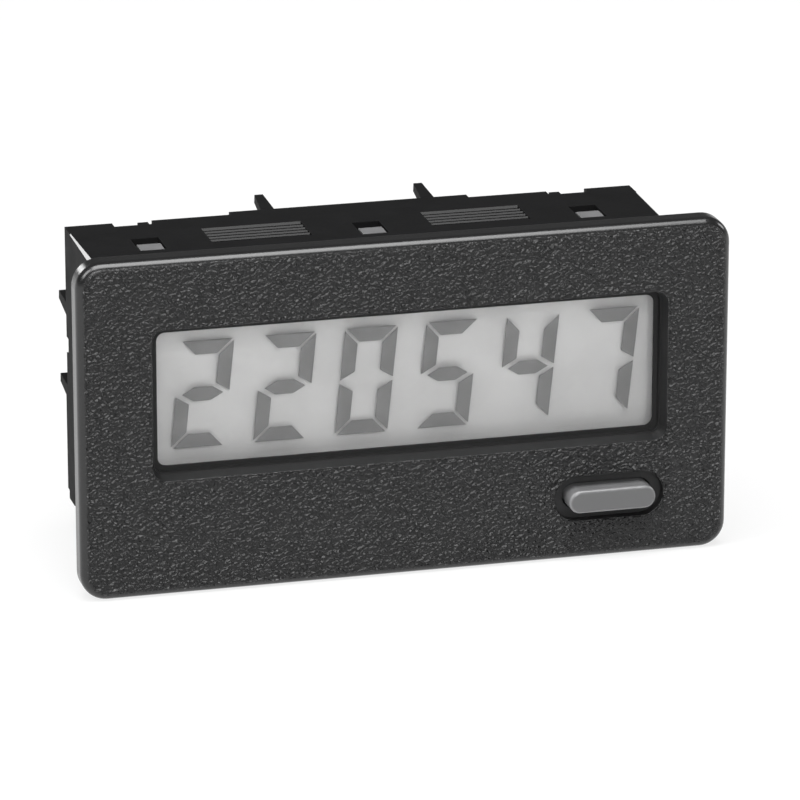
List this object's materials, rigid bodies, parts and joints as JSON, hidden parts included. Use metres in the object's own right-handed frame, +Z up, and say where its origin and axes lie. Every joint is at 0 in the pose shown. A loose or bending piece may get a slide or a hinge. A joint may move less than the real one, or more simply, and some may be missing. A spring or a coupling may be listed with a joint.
{
  "type": "panel counter",
  "caption": "Panel-mount counter: flat rectangular bezel with a recessed liquid crystal reading and a reset button, on a shallow box case with screw terminals behind.",
  "frame": {"origin": "centre of the bezel's rear face, in the plane of the panel's front", "axes": "+X to the right seen from the front, +Y to the rear through the panel, +Z up"},
  "size_m": [0.075, 0.0335, 0.039],
  "materials": {
    "bezel_plastic": "black moulding, fine leather grain on the face, smooth rim",
    "case_plastic": "black moulding, satin",
    "chassis_plastic": "light grey moulding, satin",
    "clear_pane": "clear moulded pane",
    "seal_rubber": "black soft rubber",
    "display_glass": "thin clear plate",
    "segment_ink": "grey switched segment",
    "reflector_sheet": "pale silver-grey sheet, matt",
    "frame_plastic": "dark grey moulding",
    "contact_rubber": "layered contact rubber",
    "button_plastic": "mid grey moulding, satin",
    "switch_plastic": "black switch body",
    "plunger_plastic": "white plunger",
    "board_laminate": "green laminate",
    "screw_steel": "zinc-plated steel",
    "chip_plastic": "black epoxy",
    "can_metal": "drawn metal can",
    "capacitor_sleeve": "dark blue sleeve",
    "cell_steel": "bright steel can",
    "spring_steel": "plated spring strip",
    "block_plastic": "black moulding",
    "clamp_brass": "tinned brass"
  },
  "bodies": {
    "housing": {"front_bezel": "bezel_plastic", "rear_case": "case_plastic", "chassis": "chassis_plastic", "rear_cover": "case_plastic", "display_window": "clear_pane", "window_seal": "seal_rubber", "lcd_front_glass": "display_glass", "lcd_segments": "segment_ink", "lcd_rear_glass": "display_glass", "lcd_reflector": "reflector_sheet", "lcd_frame": "frame_plastic", "zebra_strip_top": "contact_rubber", "zebra_strip_bottom": "contact_rubber", "button_seal": "seal_rubber", "reset_switch": "switch_plastic", "main_board": "board_laminate", "board_screws": "screw_steel", "counter_chip": "chip_plastic", "crystal": "can_metal", "capacitors": "capacitor_sleeve", "resistors": "chip_plastic", "battery_cell": "cell_steel", "battery_clips": "spring_steel", "terminal_block": "block_plastic", "terminal_clamps": "clamp_brass", "terminal_screws": "screw_steel", "terminal_pins": "clamp_brass"},
    "button": {"reset_button": "button_plastic", "switch_plunger": "plunger_plastic"}
  },
  "joints": [
    {"name": "button_press", "type": "slide", "parent": "housing", "child": "button", "axis": [0, 1, 0], "range_m": [0, 0.0005], "stiffness_N_per_m": 400}
  ]
}
